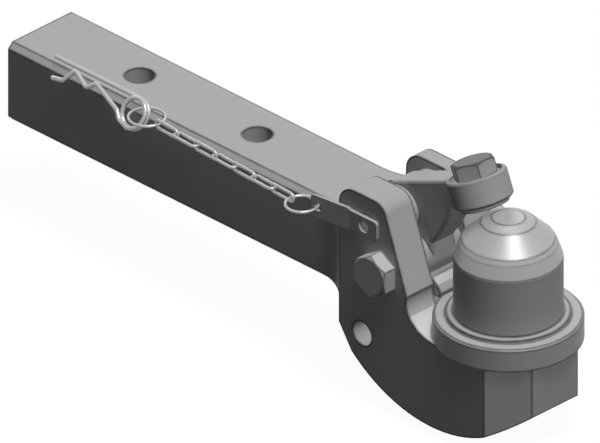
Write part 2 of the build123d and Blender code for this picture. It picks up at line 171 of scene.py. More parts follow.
def new_group(name: str, inputs: dict[str, float | None],
              outputs: dict[str, str]) -> tuple[bpy.types.NodeTree, bpy.types.NodeOutputs]:
    """Make an empty shader group with named sockets.

    Args:
        name: the group's name.
        inputs: each input's name and its usual value, or None for a vector.
        outputs: each output's name and its socket type.

    Returns:
        The group's tree, and the sockets that hold what the group is given.
    """
    tree = bpy.data.node_groups.new(name, "ShaderNodeTree")
    for label, value in inputs.items():
        kind = "NodeSocketVector" if value is None else "NodeSocketFloat"
        socket = tree.interface.new_socket(label, in_out="INPUT", socket_type=kind)
        if value is not None:
            socket.default_value = value
    for label, kind in outputs.items():
        tree.interface.new_socket(label, in_out="OUTPUT", socket_type=kind)
    return tree, add_node(tree, "NodeGroupInput").outputs


# Object helpers


def new_object(name: str, data: bpy.types.ID) -> bpy.types.Object:
    """Make an object of a mesh, curve, lamp or camera, and link it to the scene."""
    made = bpy.data.objects.new(name, data)
    bpy.context.scene.collection.objects.link(made)
    return made


def seat(piece: bpy.types.Object, slot: str, body: str, *nodes: str) -> bpy.types.Object:
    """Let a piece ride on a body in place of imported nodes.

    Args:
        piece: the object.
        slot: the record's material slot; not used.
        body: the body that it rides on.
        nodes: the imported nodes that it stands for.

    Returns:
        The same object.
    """
    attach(piece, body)
    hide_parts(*nodes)
    return piece


def paint(piece: bpy.types.Object, chosen: Callable[[bpy.types.MeshPolygon], bool]) -> bpy.types.Object:
    """Give a piece's second finish to the faces that a test chooses.

    Args:
        piece: the object, which holds two materials.
        chosen: the test of a face.

    Returns:
        The same object.
    """
    for polygon in piece.data.polygons:
        if chosen(polygon):
            polygon.material_index = 1
    return piece


# Shader groups that several finishes share


class SharedEffects:
    """Builds each shared shader group once and hands it out."""

    # Strength and breakup of the painted shade line along edges and creases
    edge_shade_gain: float = 250.0
    least_edge_shade: float = 0.5
    edge_shade_patches: float = 0.8
    pit_size: float = 0.22
    pit_depth: float = 0.5
    radial_drift: float = 0.83

    def __init__(self) -> None:
        """Build the groups."""
        self.edges = self._painted_edge_shade()
        self.scale = self._forge_scale()
        self.lathe = self._lathe_marks()
        self.draw = self._drawn_grain()

    def _painted_edge_shade(self) -> bpy.types.NodeTree:
        """Painted shade where two faces meet: a mask of a thin dark line along every edge and crease,
        broken up by noise, and a rounded normal.
        """
        tree, given = new_group("painted_edge_shade", {"Radius": 0.0014, "Round": 0.0005, "Breakup": 120.0},
                                {"Edge shade": "NodeSocketFloat", "Normal": "NodeSocketVector"})
        bevel = add_node(tree, "ShaderNodeBevel", {"Radius": given["Radius"]}, samples=8)
        rounded = add_node(tree, "ShaderNodeBevel", {"Radius": given["Round"]}, samples=4)
        geometry = add_node(tree, "ShaderNodeNewGeometry")
        dot = add_node(tree, "ShaderNodeVectorMath", {0: bevel.outputs[0], 1: geometry.outputs["Normal"]},
                       operation="DOT_PRODUCT")
        bent = math_node(tree, "SUBTRACT", 1.0, dot.outputs["Value"])
        edge = math_node(tree, "MULTIPLY", bent, self.edge_shade_gain, clamp=True)
        place = add_node(tree, "ShaderNodeTexCoord")
        noise = add_node(tree, "ShaderNodeTexNoise", {"Vector": place.outputs["Object"],
                                                      "Scale": given["Breakup"], "Detail": 3.0})
        patchy = math_node(tree, "MULTIPLY_ADD", noise.outputs["Fac"], self.edge_shade_patches,
                           self.least_edge_shade)
        line = math_node(tree, "MULTIPLY", edge, patchy, clamp=True)
        add_node(tree, "NodeGroupOutput", {"Edge shade": line, "Normal": rounded.outputs[0]})
        return tree

    def _forge_scale(self) -> bpy.types.NodeTree:
        """Skin of a descaled forging: broad clouding, fine pits, and their height."""
        tree, given = new_group("forge_scale", {"Cloud size": 22.0, "Pit size": 900.0},
                                {"Cloud": "NodeSocketFloat", "Height": "NodeSocketFloat"})
        place = add_node(tree, "ShaderNodeTexCoord").outputs["Object"]
        cloud = add_node(tree, "ShaderNodeTexNoise", {"Vector": place, "Scale": given["Cloud size"],
                                                      "Detail": 5.0, "Roughness": 0.6})
        fine = add_node(tree, "ShaderNodeTexNoise", {"Vector": place, "Scale": given["Pit size"],
                                                     "Detail": 4.0, "Roughness": 0.65})
        pits = add_node(tree, "ShaderNodeTexVoronoi", {"Vector": place, "Scale": given["Pit size"]},
                        feature="F1")
        deep = math_node(tree, "LESS_THAN", pits.outputs["Distance"], self.pit_size)
        height = math_node(tree, "MULTIPLY_ADD", deep, -self.pit_depth, fine.outputs["Fac"])
        add_node(tree, "NodeGroupOutput", {"Cloud": cloud.outputs["Fac"], "Height": height})
        return tree

    def _lathe_marks(self) -> bpy.types.NodeTree:
        """Fine rings round an axis, from the feed of a lathe tool."""
        tree, given = new_group("lathe_marks", {"Feed": 2200.0, "Drift": 60.0, "Vector": None},
                                {"Marks": "NodeSocketFloat", "Bands": "NodeSocketFloat"})
        split = add_node(tree, "ShaderNodeSeparateXYZ", {0: given["Vector"]}).outputs
        across = math_node(tree, "MULTIPLY", split["X"], split["X"])
        side = math_node(tree, "MULTIPLY", split["Y"], split["Y"])
        radius = math_node(tree, "SQRT", math_node(tree, "ADD", across, side))
        along = math_node(tree, "MULTIPLY_ADD", radius, self.radial_drift, split["Z"])
        rings = [add_node(tree, "ShaderNodeTexNoise", {"W": along, "Scale": given[size], "Detail": 2.0},
                          noise_dimensions="1D").outputs["Fac"] for size in ("Feed", "Drift")]
        add_node(tree, "NodeGroupOutput", {"Marks": rings[0], "Bands": rings[1]})
        return tree

    def _drawn_grain(self) -> bpy.types.NodeTree:
        """Long streaks along Z of the given vector, from drawing or rolling."""
        tree, given = new_group("drawn_grain", {"Across": 2500.0, "Along": 60.0, "Vector": None},
                                {"Streaks": "NodeSocketFloat"})
        scale = add_node(tree, "ShaderNodeCombineXYZ", {"X": given["Across"], "Y": given["Across"],
                                                        "Z": given["Along"]})
        stretch = add_node(tree, "ShaderNodeVectorMath", {0: given["Vector"], 1: scale.outputs[0]},
                           operation="MULTIPLY")
        noise = add_node(tree, "ShaderNodeTexNoise", {"Vector": stretch.outputs[0], "Scale": 1.0,
                                                      "Detail": 3.0})
        add_node(tree, "NodeGroupOutput", {"Streaks": noise.outputs["Fac"]})
        return tree


@dataclass(frozen=True)
class SteelFinish:
    """One steel surface: its colour, gloss, the marks of how it was made, and a painted shade line along
    its edges and creases.
    """

    name: str
    skin: Skin
    colour: tuple[float, float, float]
    roughness: float
    metallic: float = 0.0
    specular: float = 0.5
    grain: float = 0.04
    depth: float = 0.04 * MM
    # Painted shade line along every edge and crease: its dark colour, the mask's reach and its strength
    edge_shade_colour: tuple[float, float, float] = (0.07, 0.07, 0.072)
    edge_shade_radius: float = 2.6 * MM
    edge_shade_strength: float = 0.8
    axis: Axis = Axis.Z
    centre: tuple[float, float, float] = (0.0, 0.0, 0.0)
    gloss_drift: float = 0.16
    bump_strength: float = 0.6

    def build(self, effects: SharedEffects) -> bpy.types.Material:
        """Make the material.

        Args:
            effects: the shared shader groups.

        Returns:
            The finished material.
        """
        material = bpy.data.materials.new(self.name)
        material.use_nodes = True
        tree = material.node_tree
        height, shade = self._grain(tree, effects)
        edges = add_node(tree, "ShaderNodeGroup", {"Radius": self.edge_shade_radius}, node_tree=effects.edges)
        darker = (*[value * (1 - self.grain) for value in self.colour], 1)
        lighter = (*[min(1, value * (1 + self.grain)) for value in self.colour], 1)
        # Painted shade: the edge mask pulls the base colour towards the dark edge colour along every edge
        # and crease
        line = math_node(tree, "MULTIPLY", edges.outputs["Edge shade"], self.edge_shade_strength)
        bump = add_node(tree, "ShaderNodeBump", {"Strength": self.bump_strength, "Distance": self.depth,
                                                 "Height": height, "Normal": edges.outputs["Normal"]})
        fill(tree, tree.nodes["Principled BSDF"], {
            "Base Color": mix_node(tree, line, mix_node(tree, shade, darker, lighter),
                                   (*self.edge_shade_colour, 1)),
            "Metallic": self.metallic,
            "Specular IOR Level": self.specular,
            "Roughness": math_node(tree, "MULTIPLY_ADD", shade, self.gloss_drift,
                                   self.roughness - self.gloss_drift / 2),
            "Normal": bump.outputs["Normal"],
        })
        return material

    def _centred(self, tree: bpy.types.NodeTree) -> bpy.types.NodeSocket:
        """Object coordinates measured from the finish's own centre, with its axis as Z."""
        place = add_node(tree, "ShaderNodeTexCoord")
        mapping = add_node(tree, "ShaderNodeMapping", {
            "Vector": place.outputs["Object"],
            "Location": self.centre,
            "Rotation": self.axis.value,
        }, vector_type="TEXTURE")
        return mapping.outputs[0]

    def _grain(self, tree: bpy.types.NodeTree,
               effects: SharedEffects) -> tuple[bpy.types.NodeSocket, bpy.types.NodeSocket]:
        """Place the group for this skin.

        Args:
            tree: the material's tree.
            effects: the shared shader groups.

        Returns:
            The height of the grain and its shade, both as sockets.
        """
        if self.skin is Skin.FORGED:
            scale = add_node(tree, "ShaderNodeGroup", node_tree=effects.scale)
            return scale.outputs["Height"], scale.outputs["Cloud"]
        if self.skin is Skin.TURNED:
            marks = add_node(tree, "ShaderNodeGroup", node_tree=effects.lathe)
            fill(tree, marks, {"Vector": self._centred(tree)})
            return marks.outputs["Marks"], marks.outputs["Bands"]
        grain = add_node(tree, "ShaderNodeGroup", node_tree=effects.draw)
        fill(tree, grain, {"Vector": self._centred(tree)})
        return grain.outputs["Streaks"], grain.outputs["Streaks"]


def grey(level: float, blue: float = 0.003) -> tuple[float, float, float]:
    """A steel's grey, with a trace of blue."""
    return level, level, level + blue


# Every finish also paints a dark shade line along its edges and creases
FINISHES = {
    "forging": SteelFinish("forged_steel", Skin.FORGED, grey(0.405, 0.002), 0.55, specular=0.05),
    # Painted highlight: a lighter milled finish, given only to cut faces that face up towards the light
    "milled_highlight": SteelFinish("milled_steel_painted_highlight", Skin.DRAWN, grey(0.6), 0.45, specular=0.25, depth=0.01 * MM,
                          axis=Axis.Y),
    "lever": SteelFinish("lever_forging", Skin.FORGED, grey(0.39, 0.002), 0.5, specular=0.06, grain=0.05,
                         edge_shade_radius=1.5 * MM),
    "ball": SteelFinish("polished_ball_steel", Skin.TURNED, grey(0.42), 0.4, metallic=0.12, specular=1.0,
                        depth=0.008 * MM),
    "skirt": SteelFinish("turned_skirt_steel", Skin.TURNED, grey(0.38), 0.5, specular=0.08,
                         depth=0.008 * MM),
    "scaled": SteelFinish("dark_bolt_scale", Skin.FORGED, grey(0.12), 0.5, specular=0.1, grain=0.3,
                          depth=0.03 * MM),
    "boss_bolt": SteelFinish("boss_bolt_steel", Skin.FORGED, grey(0.34), 0.45, specular=0.1, grain=0.06,
                             depth=0.02 * MM, edge_shade_radius=1.8 * MM),
    "collar": SteelFinish("turned_collar_steel", Skin.TURNED, grey(0.41), 0.42, specular=0.15,
                          depth=0.008 * MM),
    "fastener": SteelFinish("fastener_steel", Skin.FORGED, grey(0.49), 0.42, specular=0.1, grain=0.06,
                            depth=0.02 * MM, edge_shade_radius=1.8 * MM),
    "strip": SteelFinish("rolled_strip_steel", Skin.DRAWN, grey(0.4), 0.42, specular=0.06, grain=0.06,
                         depth=0.01 * MM, edge_shade_radius=0.9 * MM, edge_shade_strength=0.5, axis=Axis.X),
    "pin": SteelFinish("ground_pin_steel", Skin.TURNED, grey(0.6, 0.005), 0.3, grain=0.05, depth=0.008 * MM,
                       edge_shade_radius=1.4 * MM, axis=Axis.Y, centre=(LOCK_X, 0.0, LOCK_Z)),
    "wire": SteelFinish("bright_wire_steel", Skin.DRAWN, grey(0.5, 0.005), 0.3, metallic=0.3, grain=0.08,
                        depth=0.006 * MM, edge_shade_radius=0.3 * MM, edge_shade_strength=0.3, axis=Axis.X),
    "bronze": SteelFinish("bush_bronze", Skin.TURNED, (0.5, 0.33, 0.14), 0.35, metallic=0.8, grain=0.1,
                          edge_shade_colour=(0.2, 0.13, 0.06), axis=Axis.Y, centre=(PIVOT_X, 0.0, PIVOT_Z)),
}


def build_finishes() -> Looks:
    """Build every finish once, on one set of shared groups."""
    effects = SharedEffects()
    return {use: finish.build(effects) for use, finish in FINISHES.items()}


# Wire pieces


class WireTree:
    """A Geometry Nodes tree that turns a curve into drawn round wire, with an upset at its weld."""

    def __init__(self) -> None:
        """Build the tree with its named inputs."""
        tree = bpy.data.node_groups.new("drawn_wire", "GeometryNodeTree")
        self.tree = tree
        face = tree.interface
        face.new_socket("Geometry", in_out="INPUT", socket_type="NodeSocketGeometry")
        sizes = (("Wire", 2.4 * MM), ("Sides", 16), ("Weld place", 0.0), ("Weld reach", 1.5 * MM),
                 ("Weld swell", 0.0))
        for label, value in sizes:
            kind = "NodeSocketInt" if isinstance(value, int) else "NodeSocketFloat"
            socket = face.new_socket(label, in_out="INPUT", socket_type=kind)
            socket.default_value = value
        face.new_socket("Finish", in_out="INPUT", socket_type="NodeSocketMaterial")
        face.new_socket("Geometry", in_out="OUTPUT", socket_type="NodeSocketGeometry")
        given = add_node(tree, "NodeGroupInput").outputs
        spline = add_node(tree, "GeometryNodeSplineParameter")
        away = math_node(tree, "SUBTRACT", spline.outputs["Length"], given["Weld place"])
        share = math_node(tree, "DIVIDE", away, given["Weld reach"])
        square = math_node(tree, "MULTIPLY", share, share)
        falloff = math_node(tree, "EXPONENT", math_node(tree, "MULTIPLY", square, -1.0))
        swell = math_node(tree, "MULTIPLY_ADD", falloff, given["Weld swell"], 1.0)
        radius = math_node(tree, "MULTIPLY", given["Wire"], 0.5)
        thicken = add_node(tree, "GeometryNodeSetCurveRadius", {"Curve": given["Geometry"],
                                                                "Radius": swell})
        profile = add_node(tree, "GeometryNodeCurvePrimitiveCircle", {"Resolution": given["Sides"],
                                                                      "Radius": radius})
        sweep = add_node(tree, "GeometryNodeCurveToMesh", {
            "Curve": thicken.outputs[0],
            "Profile Curve": profile.outputs[0],
            "Fill Caps": True,
        })
        if "Scale" in sweep.inputs:
            fill(tree, sweep, {"Scale": swell})
        realize = add_node(tree, "GeometryNodeRealizeInstances", {0: sweep.outputs[0]})
        finished = add_node(tree, "GeometryNodeSetMaterial", {"Geometry": realize.outputs[0],
                                                              "Material": given["Finish"]})
        add_node(tree, "NodeGroupOutput", {"Geometry": finished.outputs[0]})

    def socket(self, label: str) -> str:
        """Identifier of a named input."""
        for item in self.tree.interface.items_tree:
            if item.in_out == "INPUT" and item.name == label:
                return item.identifier
        raise KeyError(label)


@dataclass
class WirePiece:
    """A piece of round wire along a line of points."""

    name: str
    points: list[Vector]
    wire: float
    closed: bool = False
    sides: int = 20
    weld_swell: float = 0.0
    weld_place: float = 0.0

    def build(self, tree: WireTree, finish: bpy.types.Material) -> bpy.types.Object:
        """Sweep the wire and turn it into a plain mesh.

        Args:
            tree: the wire's Geometry Nodes tree.
            finish: the material.

        Returns:
            The finished object, at the origin.
        """
        curve = bpy.data.curves.new(self.name + "_line", "CURVE")
        curve.dimensions = "3D"
        spline = curve.splines.new("POLY")
        spline.points.add(len(self.points) - 1)
        for item, point in zip(spline.points, self.points):
            item.co = (*point, 1.0)
        spline.use_cyclic_u = self.closed
        source = new_object(self.name + "_line", curve)
        modifier = source.modifiers.new("wire", "NODES")
        modifier.node_group = tree.tree
        for label, value in (("Wire", self.wire), ("Sides", self.sides), ("Weld swell", self.weld_swell),
                             ("Weld place", self.weld_place), ("Finish", finish)):
            modifier[tree.socket(label)] = value
        depsgraph = bpy.context.evaluated_depsgraph_get()
        mesh = bpy.data.meshes.new_from_object(source.evaluated_get(depsgraph), depsgraph=depsgraph)
        bpy.data.objects.remove(source)
        piece = new_object(self.name, mesh)
        for polygon in mesh.polygons:
            polygon.use_smooth = len(polygon.vertices) == 4
        return piece


def arc_points(centre: Vector, first: Vector, second: Vector, turn: float, steps: int) -> list[Vector]:
    """Points on an arc spanned by two spokes.

    Args:
        centre: the arc's centre.
        first: the spoke at angle 0.
        second: the spoke at a quarter turn.
        turn: the angle that the arc runs through, in radians.
        steps: number of points.

    Returns:
        The points, without the last one.
    """
    angles = [turn * step / steps for step in range(steps)]
    return [centre + first * math.cos(angle) + second * math.sin(angle) for angle in angles]


@dataclass
class Chain:
    """The rings and links between the lock pin's handle and the spring clip."""

    finishes: Looks
    tree: WireTree
    link_count: int = 7
    link_wire: float = 2.4 * MM
    link_width: float = 6.4 * MM
    ring_wire: float = 2.2 * MM
    gap: float = 0.3 * MM
    handle_ring: Vector = field(default_factory=lambda: Vector((-0.1502, -0.0606, 0.0123)))
    handle_ring_radius: float = 12.0 * MM
    clip_ring: Vector = field(default_factory=lambda: Vector((-0.328, -0.0408, 0.004)))
    clip_ring_radius: float = 13.5 * MM
    weld_swell: float = 0.14
    ring_steps: int = 96
    bend_steps: int = 16
    side_steps: int = 8

    def build(self) -> list[bpy.types.Object]:
        """Make both rings and every link, and seat them on their bodies."""
        made = [
            self._ring("handle_ring", self.handle_ring, self.handle_ring_radius, "first_ring"),
            self._ring("clip_ring", self.clip_ring, self.clip_ring_radius, "second_ring"),
        ]
        run = self.clip_ring - self.handle_ring
        level = Vector((run.x, run.y, 0)).normalized()
        start = self.handle_ring + level * self.handle_ring_radius
        end = self.clip_ring - level * self.clip_ring_radius
        direction = (end - start).normalized()
        ring_hook = (self.ring_wire + self.link_wire) / 2 + self.gap
        link_hook = self.link_wire + self.gap
        total = (end - start).length + 2 * ring_hook + (self.link_count - 1) * link_hook
        length = total / self.link_count
        side = direction.cross(Vector((0, 0, 1))).normalized()
        up = side.cross(direction).normalized()
        for index in range(self.link_count):
            middle = start + direction * (length / 2 - ring_hook + index * (length - link_hook))
            across = up if index % 2 == 0 else side
            made.append(self._link(index + 1, middle, direction, across, length))
        return made

    def _ring(self, node: str, centre: Vector, radius: float, body: str) -> bpy.types.Object:
        """A level ring with a butt joint, in place of its plain solid."""
        points = arc_points(centre, Vector((radius, 0, 0)), Vector((0, radius, 0)), math.tau,
                            self.ring_steps)
        piece = WirePiece(node + "_wire", points, self.ring_wire, closed=True)
        return seat(piece.build(self.tree, self.finishes["wire"]), "wire_steel", body, node)

    def _link(self, number: int, middle: Vector, direction: Vector, across: Vector,
              length: float) -> bpy.types.Object:
        """One welded link, in place of its plain solid; the weld sits halfway along one side."""
        half = self.link_width / 2
        reach = length / 2 - half
        count = self.side_steps
        points = []
        for end in (direction, -direction):
            start = middle - end * reach + across * half
            points += [start + end * reach * step / count for step in range(2 * count)]
            points += arc_points(middle + end * reach, across * half, end * half, math.pi, self.bend_steps)
            across = -across
        piece = WirePiece(f"chain_link_{number}_wire", points, self.link_wire, closed=True,
                          weld_swell=self.weld_swell, weld_place=reach)
        return seat(piece.build(self.tree, self.finishes["wire"]), "wire_steel", f"link_{number}",
                    f"chain_link_{number}")


@dataclass
class SpringClip:
    """The wire clip: a straight leg, a double coil and a waved leg."""

    finishes: Looks
    tree: WireTree
    wire: float = 3.5 * MM
    coil_radius: float = 11.3 * MM
    coil_pitch: float = 3.7 * MM
    leg: float = 88.0 * MM
    tilt: float = math.radians(60)
    centre: Vector = field(default_factory=lambda: Vector((-0.3428, -0.0364, -0.0011)))
    bend_radius: float = 3.0 * MM
    wave: tuple[tuple[float, float], ...] = ((0, -11.3), (9, -8.5), (14, -3.0), (40, 7.6), (47.5, 1.6),
                                             (62, 9.4), (70, -1.4), (80, -3.0))
    half_turns: int = 3
    leg_steps: int = 30
    half_turn_steps: int = 24
    bend_steps: int = 8

    def place(self, back: float, up: float, out: float) -> Vector:
        """A point of the clip: back from its coil, up its plane, and out from the drawbar."""
        rise = Vector((0, math.cos(self.tilt), math.sin(self.tilt)))
        away = Vector((0, -math.sin(self.tilt), math.cos(self.tilt)))
        return self.centre + Vector((-back, 0, 0)) + rise * up + away * out

    def build(self) -> bpy.types.Object:
        """Sweep the clip's wire along its whole line and seat it; the wave's corners are in millimetres."""
        coil, advance = self.coil_radius, self.coil_pitch / 2
        points = [self.place(self.leg * (1 - step / self.leg_steps), coil, 0)
                  for step in range(self.leg_steps)]
        for step in range(self.half_turns * self.half_turn_steps):
            turns = step / self.half_turn_steps
            angle = math.pi * turns
            points.append(self.place(-math.sin(angle) * coil, math.cos(angle) * coil, advance * turns))
        line = [Vector((back * MM, up * MM)) for back, up in self.wave]
        points += [self.place(point.x, point.y, self.half_turns * advance) for point in self._rounded(line)]
        piece = WirePiece("spring_clip_wire", points, self.wire, sides=24)
        return seat(piece.build(self.tree, self.finishes["wire"]), "wire_steel", "clip", "spring_clip")

    def _rounded(self, line: list[Vector]) -> list[Vector]:
        """The waved leg's line with every bend rounded.

        Args:
            line: its corners, back and up.

        Returns:
            Points along it, with arcs at the corners.
        """
        points = [line[0]]
        for before, corner, after in zip(line, line[1:], line[2:]):
            first = (before - corner).normalized()
            second = (after - corner).normalized()
            half = math.acos(max(-1.0, min(1.0, first.dot(second)))) / 2
            cut = self.bend_radius / math.tan(half)
            start, end = corner + first * cut, corner + second * cut
            centre = corner + (first + second).normalized() * (self.bend_radius / math.sin(half))
            for step in range(self.bend_steps + 1):
                spoke = (start - centre).lerp(end - centre, step / self.bend_steps)
                points.append(centre + spoke.normalized() * self.bend_radius)
        points.append(line[-1])
        return points


# Solid pieces


def add_solid(name: str, points: Iterable[Vector], faces: list[tuple[int, ...]]) -> bpy.types.Object:
    """Make a closed mesh whose faces point outward.

    Args:
        name: the object's name.
        points: its corners.
        faces: its faces, as indices of the corners.

    Returns:
        The object, at the origin.
    """
    mesh = bpy.data.meshes.new(name)
    mesh.from_pydata([tuple(point) for point in points], [], faces)
    shape = bmesh.new()
    shape.from_mesh(mesh)
    bmesh.ops.remove_doubles(shape, verts=shape.verts, dist=0.001 * MM)
    bmesh.ops.recalc_face_normals(shape, faces=shape.faces)
    shape.to_mesh(mesh)
    shape.free()
    return new_object(name, mesh)


def rectangle(left: float, right: float, low: float, high: float) -> Profile:
    """Outline of a rectangle, or a ring's profile between two radii and two heights."""
    return [(left, low), (right, low), (right, high), (left, high)]


def plug(radius: float, low: float, high: float, chamfer: float = 0.0) -> Profile:
    """Profile of a round bar between two heights, its lower end chamfered if asked."""
    foot = [(radius - chamfer, low), (radius, low + chamfer)] if chamfer else [(radius, low)]
    return [(0.0, low), *foot, (radius, high), (0.0, high)]


def prism(name: str, outline: Profile, low: float, high: float) -> bpy.types.Object:
    """A solid with an outline of X and Z, between two planes square to Y."""
    count = len(outline)
    points = [Vector((x, y, z)) for y in (low, high) for x, z in outline]
    faces = [tuple(range(count)), tuple(range(count, 2 * count))]
    for corner in range(count):
        follow = (corner + 1) % count
        faces.append((corner, follow, count + follow, count + corner))
    return add_solid(name, points, faces)


def turned(name: str, profile: Profile, place: Matrix, ring: bool = False,
           steps: int = 96) -> bpy.types.Object:
    """A turned solid about the Z axis of a frame.

    Args:
        name: the object's name.
        profile: radius and height of each corner.
        place: the frame.
        ring: whether the profile closes on itself; otherwise it starts and ends on the axis.
        steps: number of segments round the axis.

    Returns:
        The solid.
    """
    points, circles = [], []
    for radius, height in profile:
        count = steps if radius > 0 else 1
        circles.append([len(points) + step for step in range(count)])
        for step in range(count):
            angle = math.tau * step / steps
            points.append(place @ Vector((radius * math.cos(angle), radius * math.sin(angle), height)))
    pairs = list(zip(circles, circles[1:])) + ([(circles[-1], circles[0])] if ring else [])
    faces = []
    for low, high in pairs:
        for step in range(steps):
            follow = (step + 1) % steps
            corners = (low[step % len(low)], low[follow % len(low)], high[follow % len(high)],
                       high[step % len(high)])
            faces.append(tuple(dict.fromkeys(corners)))
    return add_solid(name, points, faces)


def combine(target: bpy.types.Object, tool: bpy.types.Object, operation: str = "DIFFERENCE") -> None:
    """Cut, add or intersect a solid with another, which is used up."""
    modifier = target.modifiers.new("combine", "BOOLEAN")
    modifier.operation = operation
    modifier.solver = "EXACT"
    modifier.object = tool
    depsgraph = bpy.context.evaluated_depsgraph_get()
    mesh = bpy.data.meshes.new_from_object(target.evaluated_get(depsgraph), depsgraph=depsgraph)
    target.modifiers.clear()
    target.data = mesh
    bpy.data.objects.remove(tool)


def copy_of(node: bpy.types.Object, name: str) -> bpy.types.Object:
    """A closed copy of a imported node's mesh, for reshaping."""
    return add_solid(name, [vertex.co for vertex in node.data.vertices],
                     [tuple(polygon.vertices) for polygon in node.data.polygons])


def settle(piece: bpy.types.Object, finishes: list[bpy.types.Material], slot: str, body: str,
           *nodes: str, sharp: float = 28.0) -> bpy.types.Object:
    """Clean a reshaped mesh, shade it, and let it ride in place of its nodes.

    Args:
        piece: the object.
        finishes: its materials.
        slot: the record's material slot.
        body: the body that it rides on.
        nodes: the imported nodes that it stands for.
        sharp: edges that turn by more than this many degrees stay crisp.

    Returns:
        The finished object.
    """
    mesh = piece.data
    shape = bmesh.new()
    shape.from_mesh(mesh)
    bmesh.ops.remove_doubles(shape, verts=shape.verts, dist=0.002 * MM)
    bmesh.ops.dissolve_limit(shape, angle_limit=math.radians(0.2), verts=shape.verts, edges=shape.edges)
    shape.to_mesh(mesh)
    shape.free()
    mesh.materials.clear()
    for finish in finishes:
        mesh.materials.append(finish)
    mesh.shade_smooth()
    mesh.set_sharp_from_angle(angle=math.radians(sharp))
    weighted = piece.modifiers.new("flat_faces_first", "WEIGHTED_NORMAL")
    weighted.keep_sharp = True
    weighted.weight = 100
    return seat(piece, slot, body, *nodes)


def frame_along(base: Vector, axis: Vector, corner: Vector) -> Matrix:
    """A frame at a point whose Z runs along an axis and whose Y points to a hexagon's corner."""
    along = axis.normalized()
    across = corner.normalized()
    basis = Matrix((across.cross(along), across, along)).transposed()
    return Matrix.Translation(base) @ basis.to_4x4()


def hexagon(name: str, place: Matrix, flats: float, height: float, land_share: float = 0.95,
            turning: float = math.radians(30)) -> bpy.types.Object:
    """A hexagon on a frame's floor, the corners of its outer end turned off.

    Args:
        name: the object's name.
        place: the frame, whose Y points to a corner.
        flats: width over the flats.
        height: height above the frame's floor.
        land_share: radius of the flat end, as a share of half the width over the flats.
        turning: slope of the turned corners.

    Returns:
        The hexagon.
    """
    corner = flats / math.sqrt(3)
    land = flats / 2 * land_share
    drop = (corner - land) * math.tan(turning)
    points = []
    for level in (0.0, height):
        for step in range(6):
            angle = math.radians(30 + 60 * step)
            points.append(place @ Vector((corner * math.cos(angle), corner * math.sin(angle), level)))
    faces = [tuple(range(6)), tuple(range(6, 12))]
    faces += [(step, (step + 1) % 6, 6 + (step + 1) % 6, 6 + step) for step in range(6)]
    head = add_solid(name, points, faces)
    # The turned envelope stands just outside the corners and below the floor
    reach = corner * 1.01
    floor = -height * 0.1
    envelope = [(0.0, floor), (reach, floor), (reach, height - drop), (land, height), (0.0, height)]
    combine(head, turned(name + "_turning", envelope, place), "INTERSECT")
    return head


